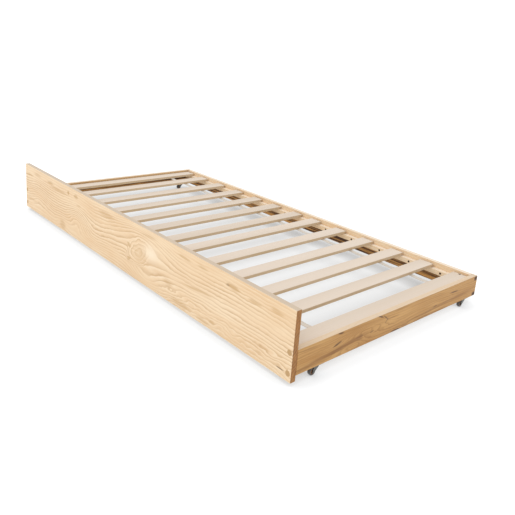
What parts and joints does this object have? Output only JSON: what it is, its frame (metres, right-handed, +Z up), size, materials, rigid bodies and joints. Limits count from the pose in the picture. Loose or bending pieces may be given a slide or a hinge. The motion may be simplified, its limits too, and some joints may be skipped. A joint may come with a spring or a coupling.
{
  "type": "trundle bed",
  "caption": "Low slatted pine trundle bed with a tall plugged front panel, webbing-spaced slats and small swivel plate casters under its end rails.",
  "frame": {"origin": "on the floor, below the middle of the bed's footprint", "axes": "+X along the bed's length to the right-hand end, -Y out through the tall front panel, +Z up"},
  "size_m": [1.905, 0.99, 0.233],
  "materials": {
    "panel_pine": "clear satin lacquer on knotty pine",
    "rail_pine": "clear satin lacquer on knotty pine",
    "plug_pine": "sanded flush, clear satin lacquer",
    "slat_wood": "planed, unfinished",
    "webbing": "woven polypropylene tape",
    "staple_steel": "galvanised wire",
    "screw_steel": "black-bronze phosphate",
    "zinc_steel": "zinc plated pressed steel",
    "hub_plastic": "brown moulded nylon",
    "tyre_rubber": "matt dark grey rubber"
  },
  "bodies": {
    "frame": {"front_panel": "panel_pine", "left_end_rail": "rail_pine", "right_end_rail": "rail_pine", "back_rail": "rail_pine", "front_cleat": "rail_pine", "back_cleat": "rail_pine", "panel_plugs": "plug_pine", "slat_01": "slat_wood", "slat_02": "slat_wood", "slat_03": "slat_wood", "slat_04": "slat_wood", "slat_05": "slat_wood", "slat_06": "slat_wood", "slat_07": "slat_wood", "slat_08": "slat_wood", "slat_09": "slat_wood", "slat_10": "slat_wood", "slat_11": "slat_wood", "slat_12": "slat_wood", "slat_13": "slat_wood", "front_tape": "webbing", "back_tape": "webbing", "tape_staples": "staple_steel", "panel_screws": "screw_steel", "back_rail_screws": "screw_steel", "cleat_screws": "screw_steel", "slat_screws": "screw_steel", "caster_screws": "zinc_steel", "left_front_plate": "zinc_steel", "left_front_washer": "zinc_steel", "left_front_kingpin": "zinc_steel", "left_back_plate": "zinc_steel", "left_back_washer": "zinc_steel", "left_back_kingpin": "zinc_steel", "right_front_plate": "zinc_steel", "right_front_washer": "zinc_steel", "right_front_kingpin": "zinc_steel", "right_back_plate": "zinc_steel", "right_back_washer": "zinc_steel", "right_back_kingpin": "zinc_steel"},
    "left_front_swivel": {"left_front_fork": "zinc_steel", "left_front_axle": "zinc_steel"},
    "left_front_wheel": {"left_front_hub": "hub_plastic", "left_front_tyre": "tyre_rubber"},
    "left_back_swivel": {"left_back_fork": "zinc_steel", "left_back_axle": "zinc_steel"},
    "left_back_wheel": {"left_back_hub": "hub_plastic", "left_back_tyre": "tyre_rubber"},
    "right_front_swivel": {"right_front_fork": "zinc_steel", "right_front_axle": "zinc_steel"},
    "right_front_wheel": {"right_front_hub": "hub_plastic", "right_front_tyre": "tyre_rubber"},
    "right_back_swivel": {"right_back_fork": "zinc_steel", "right_back_axle": "zinc_steel"},
    "right_back_wheel": {"right_back_hub": "hub_plastic", "right_back_tyre": "tyre_rubber"}
  },
  "joints": [
    {"name": "left_front_swivel", "type": "hinge", "parent": "frame", "child": "left_front_swivel", "pos_m": [-0.9395, -0.384, 0.03], "axis": [0, 0, 1], "continuous": true},
    {"name": "left_front_roll", "type": "hinge", "parent": "left_front_swivel", "child": "left_front_wheel", "pos_m": [-0.9395, -0.396, 0.0125], "axis": [1, 0, 0], "continuous": true},
    {"name": "left_back_swivel", "type": "hinge", "parent": "frame", "child": "left_back_swivel", "pos_m": [-0.9395, 0.426, 0.03], "axis": [0, 0, 1], "continuous": true},
    {"name": "left_back_roll", "type": "hinge", "parent": "left_back_swivel", "child": "left_back_wheel", "pos_m": [-0.9395, 0.414, 0.0125], "axis": [1, 0, 0], "continuous": true},
    {"name": "right_front_swivel", "type": "hinge", "parent": "frame", "child": "right_front_swivel", "pos_m": [0.9395, -0.384, 0.03], "axis": [0, 0, 1], "continuous": true},
    {"name": "right_front_roll", "type": "hinge", "parent": "right_front_swivel", "child": "right_front_wheel", "pos_m": [0.9395, -0.396, 0.0125], "axis": [1, 0, 0], "continuous": true},
    {"name": "right_back_swivel", "type": "hinge", "parent": "frame", "child": "right_back_swivel", "pos_m": [0.9395, 0.426, 0.03], "axis": [0, 0, 1], "continuous": true},
    {"name": "right_back_roll", "type": "hinge", "parent": "right_back_swivel", "child": "right_back_wheel", "pos_m": [0.9395, 0.414, 0.0125], "axis": [1, 0, 0], "continuous": true}
  ]
}
